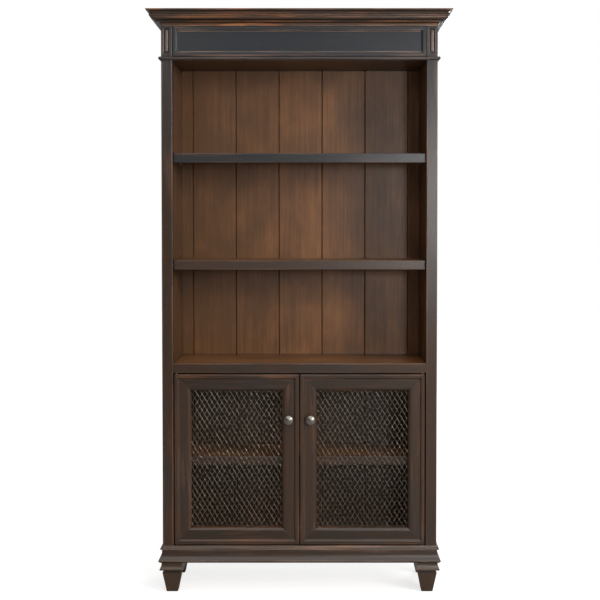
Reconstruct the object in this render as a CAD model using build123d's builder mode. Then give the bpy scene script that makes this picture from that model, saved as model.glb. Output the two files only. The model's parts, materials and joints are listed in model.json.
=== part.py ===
"""Open bookcase with a crown, five shelf levels and two wire-mesh doors.

Frame: +Z up, -Y to the front, +X to the right. The origin is on the floor, under the
centre of the bounding box. Millimetres.
"""
from build123d import *
from math import ceil, hypot
import os

os.makedirs("parts", exist_ok=True)

# ---------------------------------------------------------------- driving dimensions
OVERALL_WIDTH = 1031.0
OVERALL_DEPTH = 356.0
OVERALL_HEIGHT = 1987.0
CROWN_PROJECTION = 46.5
BODY_HALF = OVERALL_WIDTH / 2 - CROWN_PROJECTION
BODY_FRONT = -OVERALL_DEPTH / 2 + CROWN_PROJECTION
BODY_BACK = OVERALL_DEPTH / 2

STILE_WIDTH = 37.6
STILE_DEPTH = 45.0
ARRIS = 2.0
OPENING_HALF = BODY_HALF - STILE_WIDTH
BOARD = 18.0
OUTER_SIDE = 15.0
INNER_SIDE = 12.0
BACK_PANEL = 8.0
BACK_RECESS = 2.0
BACK_FACE = BODY_BACK - BACK_RECESS - BACK_PANEL

# levels above the floor
FOOT_TOP = 106.0
CARCASS_BOTTOM = 145.0
BOTTOM_TOP = CARCASS_BOTTOM + BOARD
FIXED_SHELF_TOP = 790.0
MIDDLE_RAIL_BOTTOM = 756.0
CEILING = 1820.0
ASTRAGAL_TOP = 1831.5
CROWN_BOTTOM = 1935.5
CARCASS_TOP = OVERALL_HEIGHT - BOARD

RAIL_THICKNESS = 22.0
BATTEN_WIDTH = 60.0
REAR_BATTEN_DEPTH = 30.0

GROOVE_PITCH = 156.0
GROOVE_COUNT = 6
GROOVE_WIDTH = 5.0
GROOVE_DEPTH = 3.0

# adjustable shelves: top level, height of the front nosing, set-back from the body's front
SHELVES = {
    "upper_shelf": (1506.5, 32.5, 20.0),
    "centre_shelf": (1141.0, 32.5, 20.0),
    "lower_shelf": (462.0, 30.0, 52.0),
}
SHELF_END_GAP = 1.5
SHELF_BACK_GAP = 8.0
NOSING_THICKNESS = 20.0
PIN_RADIUS = 2.45
PIN_HOLE_RADIUS = 2.5
PIN_HOLE_DEPTH = 9.0
PIN_FRONT_Y = -45.0
PIN_REAR_Y = 125.0
PIN_DROP = 6.5
HOLE_PITCH = 32.0
HOLES_PER_ROW = 5
TAB_THICKNESS = 2.0
TAB_WIDTH = 12.0
TAB_LENGTH = 13.0
PLATE_HEIGHT = 12.0
PLATE_THICKNESS = 1.3

# header
FRIEZE_RECESS = 7.0
FRIEZE_BACK = BODY_FRONT + 20.0
FRIEZE_RING_HALF = 430.0
FRIEZE_RING_BOTTOM = 1834.0
FRIEZE_RING_TOP = 1934.0
FRIEZE_RING_WIDTH = 16.7
SLOT_WIDTH = 19.0
SLOT_HEIGHT = 85.0
SLOT_DEPTH = 6.0
SLOT_CENTRE = 1885.0
BAR_WIDTH = 10.0
BAR_HEIGHT = 73.0
BAR_THICKNESS = 6.5

# doors
DOOR_BOTTOM = 165.5
DOOR_TOP = 752.0
DOOR_THICKNESS = 22.0
DOOR_SIDE_GAP = 2.2
DOOR_CENTRE_GAP = 3.0
DOOR_WIDTH = OPENING_HALF - DOOR_SIDE_GAP - DOOR_CENTRE_GAP / 2
DOOR_FRAME = 57.5
DOOR_CORNER = 5.0
REBATE_WIDTH = 8.0
REBATE_FLOOR = 14.0
WIRE_RADIUS = 0.9
WIRE_LAYER_GAP = 0.02
DIAMOND_WIDTH = 17.0
DIAMOND_HEIGHT = 28.0
STOP_WIDTH = 7.8
STOP_FRONT = 17.7
KNOB_Z = 596.0
KNOB_FROM_EDGE = 36.0
KNOB_REACH = 23.2
KNOB_CAP_RADIUS = 12.4
KNOB_CAP_BASE = 19.6
FIELD_DEPTH = 4.5
SCREW_HOLE_RADIUS = 2.2
KNOB_THREAD_RADIUS = 2.0
KNOB_THREAD_DEPTH = 12.0

# pivot hinges: the axis stands as far behind the door's face as it does in from its edge
PIVOT_INSET = 8.0
PIVOT_RADIUS = 2.5
PIVOT_CLEARANCE = 0.05
LEAF_LENGTH = 60.0
LEAF_WIDTH = 11.0
LEAF_THICKNESS = 2.5
LEAF_END = 2.0
SHOULDER_RADIUS = 4.5
SHOULDER_GAP = 0.1
PIVOT_WELL = 7.0
PIVOT_REACH = 6.0

# magnetic catches under the fixed shelf
CATCH_X = 45.0
CATCH_WIDTH = 46.0
CATCH_DEPTH = 20.0
CATCH_HEIGHT = 36.0
STRIKE_THICKNESS = 1.2
STRIKE_GAP = 0.3
STRIKE_WIDTH = 38.0
STRIKE_HEIGHT = 12.0
STRIKE_Z = 743.0

# feet and base
FOOT_X = 438.0
FOOT_FRONT_Y = BODY_FRONT + BODY_HALF - FOOT_X
FOOT_BOTTOM = 2.0
FOOT_TOE = 39.0
FOOT_ANKLE = 65.0
FOOT_NECK = 60.0
FOOT_COLLAR = 83.0
FOOT_REAR_Y = BODY_BACK - FOOT_COLLAR / 2
ANKLE_Z = 69.5
ANKLE_BEVEL = 2.5
COLLAR_BOTTOM = 79.0
COLLAR_TOP = 85.0
BLOCK_TOP_WIDTH = 71.0
BASE_RAIL = 20.0
CORNER_BLOCK = 70.0
BOLT_RADIUS = 4.0
BOLT_HOLE_RADIUS = 4.1
BOLT_BOTTOM = 80.0
BOLT_TOP = 142.0
GLIDE_RADIUS = 12.0
GLIDE_THICKNESS = 3.5
NAIL_RADIUS = 1.4
NAIL_LENGTH = 14.0

BACK_SCREW_PITCH = 190.0

SIDES = {"left": -1, "right": 1}


# ---------------------------------------------------------------- shared shapes
def save(piece, name):
    """Label a finished piece and write its STEP file."""
    piece.label = name
    export_step(piece, f"parts/{name}.step")


def board(x_range, y_range, z_range):
    """A plain square-edged board between the given limits."""
    with BuildPart() as panel:
        with BuildSketch(Plane.XY.offset(z_range[0])):
            centre = ((x_range[0] + x_range[1]) / 2, (y_range[0] + y_range[1]) / 2)
            with Locations(centre):
                Rectangle(x_range[1] - x_range[0], y_range[1] - y_range[0])
        extrude(amount=z_range[1] - z_range[0])
    return panel.part


def outward_plane(side):
    """Plane whose X runs out of the body and whose Y is up: side 0 is the front."""
    if side == 0:
        return Plane(origin=(0, BODY_FRONT, 0), x_dir=(0, -1, 0), z_dir=(-1, 0, 0))
    return Plane(origin=(side * BODY_HALF, 0, 0), x_dir=(side, 0, 0), z_dir=(0, -side, 0))


def wrapped_moulding(outline, projection, side):
    """One length of a moulding that goes round the front and both sides.

    The corners are mitred. Side 0 is the front length, -1 and +1 the side returns.
    """
    reach = BODY_HALF + projection
    front = BODY_FRONT - projection
    if side == 0:
        plan = [(-BODY_HALF, BODY_FRONT), (BODY_HALF, BODY_FRONT), (reach, front), (-reach, front)]
    else:
        plan = [
            (side * BODY_HALF, BODY_FRONT),
            (side * reach, front),
            (side * reach, BODY_BACK),
            (side * BODY_HALF, BODY_BACK),
        ]
    with BuildPart() as moulding:
        with BuildSketch(outward_plane(side)):
            with BuildLine():
                outline()
            make_face()
        extrude(amount=reach, both=True)
        with BuildSketch():
            with BuildLine():
                Polyline(*plan, close=True)
            make_face()
        extrude(amount=OVERALL_HEIGHT, mode=Mode.INTERSECT)
    return moulding.part


def framed_ring(outline, width, half_x, low_z, high_z, face_y):
    """The four mitred members of a frame, in order bottom, top, left, right.

    The outline is drawn as (depth behind face_y, distance in from the frame's outer edge).
    """
    centre_z = (low_z + high_z) / 2
    half_z = (high_z - low_z) / 2
    members = []
    for turn, half_length, offset in (
        (0, half_x, (0, 0, -half_z)),
        (180, half_x, (0, 0, half_z)),
        (90, half_z, (-half_x, 0, 0)),
        (-90, half_z, (half_x, 0, 0)),
    ):
        with BuildPart() as member:
            with BuildSketch(Plane.YZ):
                with BuildLine():
                    outline()
                make_face()
            extrude(amount=half_length, both=True)
            with BuildSketch(Plane.XZ):
                with BuildLine():
                    Polyline(
                        (-half_length, 0),
                        (half_length, 0),
                        (half_length - width, width),
                        (-half_length + width, width),
                        close=True,
                    )
                make_face()
            extrude(amount=OVERALL_DEPTH, both=True, mode=Mode.INTERSECT)
        place = Pos(offset[0], face_y, centre_z + offset[2]) * Rot(0, turn, 0)
        members.append(place * member.part)
    return members


def group(pieces):
    """Several separate solids in one node."""
    return Compound(children=list(pieces))


# ---------------------------------------------------------------- moulding outlines
def crown_outline():
    """Top fillet, cove, round bead, ovolo, soffit, small bead and lower cove."""
    top = OVERALL_HEIGHT
    Line((0, top), (CROWN_PROJECTION, top))
    Line((CROWN_PROJECTION, top), (CROWN_PROJECTION, top - 4))
    ThreePointArc((CROWN_PROJECTION, top - 4), (37.0, top - 7.5), (32.5, top - 14.5))
    Line((32.5, top - 14.5), (34.0, top - 15.5))
    ThreePointArc((34.0, top - 15.5), (36.4, top - 20), (34.0, top - 24.5))
    Line((34.0, top - 24.5), (32.0, top - 25.5))
    ThreePointArc((32.0, top - 25.5), (29.6, top - 31.5), (23.5, top - 34.5))
    Line((23.5, top - 34.5), (14.5, top - 35))
    ThreePointArc((14.5, top - 35), (16.8, top - 37.5), (14.5, top - 40))
    Line((14.5, top - 40), (10.5, top - 40))
    ThreePointArc((10.5, top - 40), (3.8, top - 42.8), (1.0, top - 49.5))
    Line((1.0, top - 49.5), (1.0, CROWN_BOTTOM))
    Line((1.0, CROWN_BOTTOM), (0, CROWN_BOTTOM))
    Line((0, CROWN_BOTTOM), (0, top))


def astragal_outline():
    """Half-round bead on a short neck."""
    middle = (CEILING + ASTRAGAL_TOP) / 2
    Line((0, CEILING), (3.5, CEILING))
    ThreePointArc((3.5, CEILING), (8.5, middle), (3.5, ASTRAGAL_TOP))
    Line((3.5, ASTRAGAL_TOP), (0, ASTRAGAL_TOP))
    Line((0, ASTRAGAL_TOP), (0, CEILING))


def base_outline():
    """Flared nose, flat band and a smaller flared member at the top."""
    Line((0, FOOT_TOP), (9, FOOT_TOP))
    Line((9, FOOT_TOP), (14, FOOT_TOP + 4.5))
    Line((14, FOOT_TOP + 4.5), (14, FOOT_TOP + 7.5))
    ThreePointArc((14, FOOT_TOP + 7.5), (6.6, FOOT_TOP + 15.5), (3.0, FOOT_TOP + 26))
    Line((3.0, FOOT_TOP + 26), (2.4, BOTTOM_TOP - 14))
    Line((2.4, BOTTOM_TOP - 14), (8.6, BOTTOM_TOP - 12.5))
    Line((8.6, BOTTOM_TOP - 12.5), (8.6, BOTTOM_TOP - 10))
    ThreePointArc((8.6, BOTTOM_TOP - 10), (3.8, BOTTOM_TOP - 6), (1.5, BOTTOM_TOP))
    Line((1.5, BOTTOM_TOP), (0, BOTTOM_TOP))
    Line((0, BOTTOM_TOP), (0, FOOT_TOP))


def foot_outline():
    """Right half of the foot: taper, bevelled ankle, neck, collar fillet and cove."""
    toe, ankle, neck = FOOT_TOE / 2, FOOT_ANKLE / 2, FOOT_NECK / 2
    collar, block = FOOT_COLLAR / 2, BLOCK_TOP_WIDTH / 2
    Line((0, FOOT_BOTTOM), (toe - 1, FOOT_BOTTOM))
    Line((toe - 1, FOOT_BOTTOM), (toe, FOOT_BOTTOM + 1.5))
    Line((toe, FOOT_BOTTOM + 1.5), (ankle, ANKLE_Z))
    Line((ankle, ANKLE_Z), (neck, ANKLE_Z + ANKLE_BEVEL))
    Line((neck, ANKLE_Z + ANKLE_BEVEL), (neck, COLLAR_BOTTOM))
    Line((neck, COLLAR_BOTTOM), (collar - 1.5, COLLAR_BOTTOM))
    Line((collar - 1.5, COLLAR_BOTTOM), (collar, COLLAR_BOTTOM + 1.5))
    Line((collar, COLLAR_BOTTOM + 1.5), (collar, COLLAR_TOP - 2))
    Line((collar, COLLAR_TOP - 2), (collar - 1.5, COLLAR_TOP))
    ThreePointArc((collar - 1.5, COLLAR_TOP), (block + 1.2, COLLAR_TOP + 7.5), (block, FOOT_TOP))
    Line((block, FOOT_TOP), (0, FOOT_TOP))
    Line((0, FOOT_TOP), (0, FOOT_BOTTOM))


def frieze_outline():
    """Flat frame with a rounded step down to the panel, as (depth, distance in)."""
    Line((0, 1.2), (0, 10))
    ThreePointArc((0, 10), (2.2, 13.8), (5, 14.6))
    Line((5, 14.6), (5, FRIEZE_RING_WIDTH))
    Line((5, FRIEZE_RING_WIDTH), (FRIEZE_RECESS, FRIEZE_RING_WIDTH))
    Line((FRIEZE_RECESS, FRIEZE_RING_WIDTH), (FRIEZE_RECESS, 0))
    Line((FRIEZE_RECESS, 0), (1.2, 0))
    ThreePointArc((1.2, 0), (0.35, 0.35), (0, 1.2))


def door_outline():
    """Door frame: eased edge, raised band, ogee step, flat field and rounded lip.

    Points are (depth behind the door's face, distance in from its edge). The rebate at the
    back takes the mesh and its stops.
    """
    inner = DOOR_FRAME
    Line((0, 3.0), (0, 11.5))
    ThreePointArc((0, 11.5), (0.9, 13.8), (2.6, 15.2))
    ThreePointArc((2.6, 15.2), (4.0, 16.6), (FIELD_DEPTH, 18.6))
    Line((FIELD_DEPTH, 18.6), (FIELD_DEPTH, 47.0))
    ThreePointArc((FIELD_DEPTH, 47.0), (6.8, 53.2), (12.0, inner))
    Line((12.0, inner), (REBATE_FLOOR, inner))
    Line((REBATE_FLOOR, inner), (REBATE_FLOOR, inner - REBATE_WIDTH))
    Line((REBATE_FLOOR, inner - REBATE_WIDTH), (DOOR_THICKNESS, inner - REBATE_WIDTH))
    Line((DOOR_THICKNESS, inner - REBATE_WIDTH), (DOOR_THICKNESS, 0))
    Line((DOOR_THICKNESS, 0), (3.0, 0))
    ThreePointArc((3.0, 0), (0.9, 0.9), (0, 3.0))


# ---------------------------------------------------------------- carcass sides
def inner_side(sign):
    """Inner side panel with rows of shelf-pin holes in its inside face."""
    inside = sign * OPENING_HALF
    outside = sign * (OPENING_HALF + INNER_SIDE)
    x_range = sorted((inside, outside))
    y_range = (BODY_FRONT + STILE_DEPTH, BACK_FACE)
    with BuildPart() as panel:
        add(board(x_range, y_range, (CARCASS_BOTTOM, CARCASS_TOP)))
        for top, _, _ in SHELVES.values():
            pin_z = top - BOARD - PIN_DROP
            with Locations(Plane(origin=(inside, 0, pin_z), x_dir=(0, 1, 0), z_dir=(-sign, 0, 0))):
                with Locations((PIN_FRONT_Y, 0), (PIN_REAR_Y, 0)):
                    with GridLocations(1, HOLE_PITCH, 1, HOLES_PER_ROW):
                        Hole(PIN_HOLE_RADIUS, depth=PIN_HOLE_DEPTH)
    return panel.part


def stile(sign):
    """Front corner post with eased edges and the sunk slot of its pilaster block."""
    with BuildPart() as post:
        with BuildSketch(Plane.XY.offset(CARCASS_BOTTOM)):
            with Locations((sign * (BODY_HALF - STILE_WIDTH / 2), BODY_FRONT + STILE_DEPTH / 2)):
                Rectangle(STILE_WIDTH, STILE_DEPTH)
            fillet(vertices().group_by(Axis.Y)[0], radius=ARRIS)
        extrude(amount=CARCASS_TOP - CARCASS_BOTTOM)
        with BuildSketch(Plane.XZ.offset(-BODY_FRONT)):
            with Locations((sign * (BODY_HALF - STILE_WIDTH / 2), SLOT_CENTRE)):
                Rectangle(SLOT_WIDTH, SLOT_HEIGHT)
        extrude(amount=-SLOT_DEPTH, mode=Mode.SUBTRACT)
    return post.part


def pilaster_bar(sign):
    """Rounded bar glued in the slot of a pilaster block."""
    slot_floor = BODY_FRONT + SLOT_DEPTH
    with BuildPart() as bar:
        with BuildSketch(Plane.XZ.offset(-slot_floor)):
            with Locations((sign * (BODY_HALF - STILE_WIDTH / 2), SLOT_CENTRE)):
                RectangleRounded(BAR_WIDTH, BAR_HEIGHT, 3)
        extrude(amount=BAR_THICKNESS)
        fillet(bar.faces().sort_by(Axis.Y)[0].edges(), radius=2.8)
    return bar.part


def side_battens():
    """Spacers inside both double-walled sides."""
    low = OPENING_HALF + INNER_SIDE
    high = BODY_HALF - OUTER_SIDE
    rear = (BACK_FACE - REAR_BATTEN_DEPTH, BACK_FACE)
    across = (BODY_FRONT + STILE_DEPTH, BACK_FACE - REAR_BATTEN_DEPTH)
    middle = FIXED_SHELF_TOP - BOARD / 2 - BATTEN_WIDTH / 2
    levels = (CARCASS_BOTTOM, middle, CARCASS_TOP - BATTEN_WIDTH)
    pieces = []
    for sign in SIDES.values():
        x_range = sorted((sign * low, sign * high))
        pieces.append(board(x_range, rear, (CARCASS_BOTTOM, CARCASS_TOP)))
        for level in levels:
            pieces.append(board(x_range, across, (level, level + BATTEN_WIDTH)))
    return group(pieces)


for side_name, side_sign in SIDES.items():
    outer_range = sorted((side_sign * (BODY_HALF - OUTER_SIDE), side_sign * BODY_HALF))
    outer_depth = (BODY_FRONT + STILE_DEPTH, BODY_BACK)
    save(board(outer_range, outer_depth, (CARCASS_BOTTOM, CARCASS_TOP)), f"{side_name}_outer_side")
    save(inner_side(side_sign), f"{side_name}_inner_side")
    save(stile(side_sign), f"{side_name}_stile")

save(side_battens(), "side_battens")
save(group(pilaster_bar(sign) for sign in SIDES.values()), "pilaster_bars")


# ---------------------------------------------------------------- carcass levels
def leaf_pocket(sign, low_z, high_z):
    """Room for one hinge leaf with rounded ends, between two levels."""
    pivot_x = sign * (OPENING_HALF - DOOR_SIDE_GAP - PIVOT_INSET)
    centre_x = pivot_x - sign * (LEAF_LENGTH / 2 - PIVOT_INSET + LEAF_END)
    with BuildPart() as pocket:
        with BuildSketch(Plane.XY.offset(low_z)):
            with Locations((centre_x, BODY_FRONT + PIVOT_INSET)):
                SlotOverall(LEAF_LENGTH, LEAF_WIDTH)
        extrude(amount=high_z - low_z)
    return pocket.part


with BuildPart() as middle_rail:
    with BuildSketch(Plane.YZ):
        with Locations((BODY_FRONT + RAIL_THICKNESS / 2, (MIDDLE_RAIL_BOTTOM + FIXED_SHELF_TOP) / 2)):
            Rectangle(RAIL_THICKNESS, FIXED_SHELF_TOP - MIDDLE_RAIL_BOTTOM)
        fillet(vertices().group_by(Axis.X)[0], radius=ARRIS)
    extrude(amount=OPENING_HALF, both=True)
    for side_sign in SIDES.values():
        add(
            leaf_pocket(side_sign, MIDDLE_RAIL_BOTTOM, MIDDLE_RAIL_BOTTOM + LEAF_THICKNESS),
            mode=Mode.SUBTRACT,
        )
save(middle_rail.part, "middle_rail")

across_opening = (-OPENING_HALF, OPENING_HALF)
save(
    board(
        across_opening,
        (BODY_FRONT + RAIL_THICKNESS, BACK_FACE),
        (FIXED_SHELF_TOP - BOARD, FIXED_SHELF_TOP),
    ),
    "fixed_shelf",
)

with BuildPart() as bottom_panel:
    add(board(across_opening, (BODY_FRONT, BACK_FACE), (CARCASS_BOTTOM, BOTTOM_TOP)))
    for side_sign in SIDES.values():
        add(leaf_pocket(side_sign, BOTTOM_TOP - LEAF_THICKNESS, BOTTOM_TOP), mode=Mode.SUBTRACT)
save(bottom_panel.part, "bottom_panel")

save(board(across_opening, (FRIEZE_BACK, BACK_FACE), (CEILING, CEILING + BOARD)), "top_panel")
save(
    board((-BODY_HALF, BODY_HALF), (BODY_FRONT, BODY_BACK), (CARCASS_TOP, OVERALL_HEIGHT)),
    "top_board",
)


def back_panel(low_z, high_z):
    """Panel with vertical V-grooves in its front face, like planks."""
    half_width = BODY_HALF - OUTER_SIDE
    with BuildPart() as panel:
        add(board((-half_width, half_width), (BACK_FACE, BACK_FACE + BACK_PANEL), (low_z, high_z)))
        with BuildSketch(Plane.XY.offset(low_z)):
            with Locations((0, BACK_FACE)):
                with GridLocations(GROOVE_PITCH, 1, GROOVE_COUNT, 1):
                    Polygon(
                        (-GROOVE_WIDTH / 2, 0),
                        (GROOVE_WIDTH / 2, 0),
                        (0, GROOVE_DEPTH),
                        align=None,
                    )
        extrude(amount=high_z - low_z, mode=Mode.SUBTRACT)
    return panel.part


back_joint = FIXED_SHELF_TOP - BOARD / 2
save(back_panel(back_joint, CARCASS_TOP), "upper_back_panel")
save(back_panel(CARCASS_BOTTOM, back_joint), "lower_back_panel")


def back_screws():
    """Pan-head screws round the edges of both back panels and along the shelves."""
    edge_x = OPENING_HALF + INNER_SIDE / 2
    rows = ceil((CARCASS_TOP - CARCASS_BOTTOM) / BACK_SCREW_PITCH)
    pitch = (CARCASS_TOP - CARCASS_BOTTOM - 2 * BATTEN_WIDTH) / (rows - 1)
    places = []
    for sign in SIDES.values():
        for row in range(rows):
            places.append((sign * edge_x, CARCASS_BOTTOM + BATTEN_WIDTH + row * pitch))
    for level in (BOTTOM_TOP - BOARD / 2, back_joint - 5, back_joint + 5, CEILING + BOARD / 2):
        for column in (-1, 0, 1):
            places.append((column * 2 * GROOVE_PITCH * 0.9, level))
    screws = []
    for x, z in places:
        with BuildPart(Plane(origin=(x, BODY_BACK - BACK_RECESS, z), z_dir=(0, 1, 0))) as screw:
            Cylinder(3.5, 1.4, align=(Align.CENTER, Align.CENTER, Align.MIN))
            fillet(screw.faces().sort_by(Axis.Y)[-1].edges(), radius=1.0)
        screws.append(screw.part)
    return group(screws)


save(back_screws(), "back_panel_screws")


# ---------------------------------------------------------------- header and base
save(
    board(across_opening, (BODY_FRONT + FRIEZE_RECESS, FRIEZE_BACK), (CEILING, CARCASS_TOP)),
    "frieze_board",
)
frieze_members = framed_ring(
    frieze_outline,
    FRIEZE_RING_WIDTH,
    FRIEZE_RING_HALF,
    FRIEZE_RING_BOTTOM,
    FRIEZE_RING_TOP,
    BODY_FRONT,
)
save(group(frieze_members), "frieze_moulding")

for moulding_name, moulding_outline, moulding_reach in (
    ("crown", crown_outline, CROWN_PROJECTION),
    ("astragal", astragal_outline, 8.5),
    ("base_moulding", base_outline, 14.0),
):
    front_length = wrapped_moulding(moulding_outline, moulding_reach, 0)
    returns = [
        wrapped_moulding(moulding_outline, moulding_reach, sign) for sign in SIDES.values()
    ]
    save(front_length, f"{moulding_name}_front")
    save(group(returns), f"{moulding_name}_returns")


def foot_places():
    """Centres of the four feet as (x, y)."""
    return [(sign * FOOT_X, y) for y in (FOOT_FRONT_Y, FOOT_REAR_Y) for sign in SIDES.values()]


def base_frame():
    """Four rails under the carcass and the four corner blocks that hold the feet."""
    inner_x = BODY_HALF - BASE_RAIL
    inner_front = BODY_FRONT + BASE_RAIL
    inner_back = BODY_BACK - BASE_RAIL
    levels = (FOOT_TOP, CARCASS_BOTTOM)
    pieces = [
        board((-BODY_HALF, BODY_HALF), (BODY_FRONT, inner_front), levels),
        board((-BODY_HALF, BODY_HALF), (inner_back, BODY_BACK), levels),
    ]
    for sign in SIDES.values():
        x_range = sorted((sign * inner_x, sign * BODY_HALF))
        pieces.append(board(x_range, (inner_front, inner_back), levels))
    for x, y in foot_places():
        x_range = sorted((x / abs(x) * inner_x, x / abs(x) * (inner_x - CORNER_BLOCK)))
        if y < 0:
            y_range = (inner_front, inner_front + CORNER_BLOCK)
        else:
            y_range = (inner_back - CORNER_BLOCK, inner_back)
        with BuildPart() as block:
            add(board(x_range, y_range, levels))
            with Locations((x, y, CARCASS_BOTTOM)):
                Hole(BOLT_HOLE_RADIUS)
        pieces.append(block.part)
    return group(pieces)


with BuildPart() as foot:
    with BuildSketch(Plane.XZ):
        with BuildLine():
            foot_outline()
        make_face()
        mirror(about=Plane.YZ)
    extrude(amount=FOOT_COLLAR, both=True)
    with BuildSketch(Plane.YZ):
        with BuildLine():
            foot_outline()
        make_face()
        mirror(about=Plane.YZ)
    extrude(amount=FOOT_COLLAR, both=True, mode=Mode.INTERSECT)
    with Locations((0, 0, FOOT_TOP)):
        Hole(BOLT_HOLE_RADIUS, depth=FOOT_TOP - BOLT_BOTTOM + 1)
    with BuildSketch(Plane.XY.offset(FOOT_BOTTOM)):
        Circle(GLIDE_RADIUS + 0.2)
    extrude(amount=GLIDE_THICKNESS - FOOT_BOTTOM, mode=Mode.SUBTRACT)
    with BuildSketch(Plane.XY.offset(GLIDE_THICKNESS)):
        Circle(NAIL_RADIUS + 0.1)
    extrude(amount=NAIL_LENGTH + 1, mode=Mode.SUBTRACT)

with BuildPart() as glide:
    with BuildSketch():
        Circle(GLIDE_RADIUS)
    extrude(amount=GLIDE_THICKNESS)
    fillet(faces().sort_by(Axis.Z)[0].edges(), radius=1.5)
    with BuildSketch(Plane.XY.offset(GLIDE_THICKNESS)):
        Circle(NAIL_RADIUS)
    extrude(amount=NAIL_LENGTH, taper=4)

with BuildPart() as bolt:
    with BuildSketch(Plane.XY.offset(BOLT_BOTTOM)):
        Circle(BOLT_RADIUS)
    extrude(amount=BOLT_TOP - BOLT_BOTTOM)
    chamfer(edges().filter_by(GeomType.CIRCLE), length=1)

feet = [Pos(x, y, 0) * foot.part for x, y in foot_places()]
save(base_frame(), "base_frame")
save(group(feet[:2]), "front_feet")
save(group(feet[2:]), "rear_feet")
save(group(Pos(x, y, 0) * bolt.part for x, y in foot_places()), "foot_bolts")
save(group(Pos(x, y, 0) * glide.part for x, y in foot_places()), "floor_glides")


# ---------------------------------------------------------------- doors
def pivot_x(sign):
    """Where the hinge axis of one door stands."""
    return sign * (OPENING_HALF - DOOR_SIDE_GAP - PIVOT_INSET)


def upright_cylinder(x, y, low_z, high_z, radius):
    """Round bar or hole tool between two levels."""
    with BuildPart() as bar:
        with BuildSketch(Plane.XY.offset(low_z)):
            with Locations((x, y)):
                Circle(radius)
        extrude(amount=high_z - low_z)
    return bar.part


def hinge_cuts(sign):
    """Material taken from a door for its two leaves, its pivots and its swing."""
    x = pivot_x(sign)
    y = BODY_FRONT + PIVOT_INSET
    edge_x = sign * (OPENING_HALF - DOOR_SIDE_GAP)
    with BuildPart() as swing_relief:
        with BuildSketch(Plane.XY.offset(DOOR_BOTTOM - 1)):
            with Locations((edge_x, BODY_FRONT)):
                Rectangle(2 * DOOR_CORNER, 2 * DOOR_CORNER)
            with Locations((edge_x - sign * DOOR_CORNER, BODY_FRONT + DOOR_CORNER)):
                Circle(DOOR_CORNER, mode=Mode.SUBTRACT)
        extrude(amount=DOOR_TOP - DOOR_BOTTOM + 2)
    return [
        swing_relief.part,
        leaf_pocket(sign, DOOR_TOP - LEAF_THICKNESS, DOOR_TOP),
        leaf_pocket(sign, DOOR_BOTTOM, DOOR_BOTTOM + LEAF_THICKNESS),
        upright_cylinder(x, y, DOOR_TOP - PIVOT_WELL, DOOR_TOP, PIVOT_RADIUS + 1),
        upright_cylinder(x, y, DOOR_BOTTOM, DOOR_BOTTOM + PIVOT_WELL, PIVOT_RADIUS + 1),
    ]


def door_frame(sign):
    """The four mitred members of one door, cut for its hinges, knob screw and strike."""
    centre_x = sign * (DOOR_CENTRE_GAP + DOOR_WIDTH) / 2
    ring = framed_ring(
        door_outline, DOOR_FRAME, DOOR_WIDTH / 2, DOOR_BOTTOM, DOOR_TOP, BODY_FRONT
    )
    bottom, top, left, right = [Pos(centre_x, 0, 0) * member for member in ring]
    if sign < 0:
        hinge_stile, meeting_stile = left, right
    else:
        hinge_stile, meeting_stile = right, left
    for cut in hinge_cuts(sign):
        bottom = bottom - cut
        top = top - cut
        hinge_stile = hinge_stile - cut
    with BuildPart() as screw_hole:
        with BuildSketch(Plane.XZ.offset(-BODY_FRONT)):
            with Locations((sign * (DOOR_CENTRE_GAP / 2 + KNOB_FROM_EDGE), KNOB_Z)):
                Circle(SCREW_HOLE_RADIUS)
        extrude(amount=-DOOR_THICKNESS)
    meeting_stile = meeting_stile - screw_hole.part
    return {
        "bottom_rail": bottom,
        "top_rail": top,
        "hinge_stile": hinge_stile,
        "meeting_stile": meeting_stile,
    }


def wire_span(offset, slope, half_x, half_z):
    """Ends of the line z = slope * (x - offset) inside a rectangle about the origin."""
    ends = []
    for z in (-half_z, half_z):
        x = z / slope + offset
        if abs(x) <= half_x:
            ends.append((x, z))
    for x in (-half_x, half_x):
        z = slope * (x - offset)
        if abs(z) < half_z:
            ends.append((x, z))
    return ends


def wire_mesh(sign):
    """Two crossing layers of straight wires, cut to the rebate's rectangle."""
    centre_x = sign * (DOOR_CENTRE_GAP + DOOR_WIDTH) / 2
    centre_z = (DOOR_BOTTOM + DOOR_TOP) / 2
    margin = DOOR_FRAME - REBATE_WIDTH + 1.5 + WIRE_RADIUS
    half_x = DOOR_WIDTH / 2 - margin
    half_z = (DOOR_TOP - DOOR_BOTTOM) / 2 - margin
    slope = DIAMOND_HEIGHT / DIAMOND_WIDTH
    count = ceil((half_x + half_z / slope) / DIAMOND_WIDTH)
    front_layer = BODY_FRONT + REBATE_FLOOR + WIRE_RADIUS + WIRE_LAYER_GAP
    rear_layer = front_layer + 2 * WIRE_RADIUS + WIRE_LAYER_GAP
    wires = []
    for layer_y, lean in ((front_layer, -slope), (rear_layer, slope)):
        for index in range(-count, count + 1):
            ends = wire_span(index * DIAMOND_WIDTH, lean, half_x, half_z)
            if len(ends) < 2:
                continue
            (x0, z0), (x1, z1) = ends
            length = hypot(x1 - x0, z1 - z0)
            if length < DIAMOND_WIDTH:
                continue
            start = (centre_x + x0, layer_y, centre_z + z0)
            with BuildPart() as wire:
                with BuildSketch(Plane(origin=start, z_dir=(x1 - x0, 0, z1 - z0))):
                    Circle(WIRE_RADIUS)
                extrude(amount=length)
            wires.append(wire.part)
    return group(wires)


def stop_outline():
    """Square-edged strip behind the mesh."""
    back = DOOR_THICKNESS - STOP_FRONT
    Polyline((0, 0), (back, 0), (back, STOP_WIDTH), (0, STOP_WIDTH), close=True)


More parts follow.
